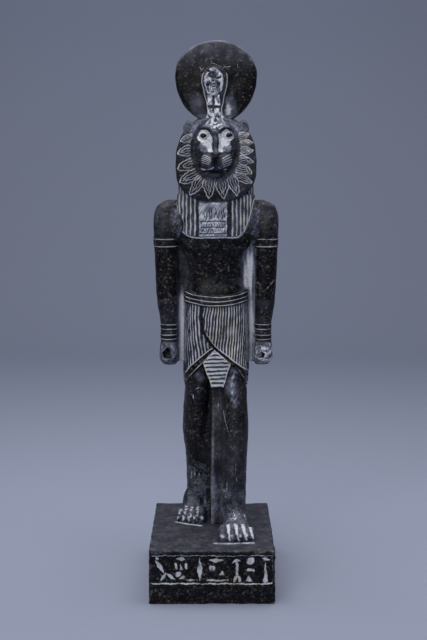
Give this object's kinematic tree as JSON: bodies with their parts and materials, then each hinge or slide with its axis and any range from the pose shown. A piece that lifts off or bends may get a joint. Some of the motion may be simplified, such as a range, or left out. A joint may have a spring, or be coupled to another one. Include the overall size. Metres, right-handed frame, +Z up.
{
  "type": "granite lion-headed deity statuette",
  "caption": "Standing lion-headed deity with a sun disc, striped headcloth and pleated kilt, striding on a plinth with a sunk sign panel, carved in one piece.",
  "frame": {"origin": "centre of the plinth's underside", "axes": "+Z up from the plinth to the sun disc, -Y the way the figure faces, +X to the right as seen from the front"},
  "size_m": [0.0745, 0.098, 0.313],
  "materials": {
    "stone": "dark polished granite with dusty pale pigment rubbed into the carving"
  },
  "bodies": {
    "root": {"statue": "stone"}
  },
  "joints": []
}
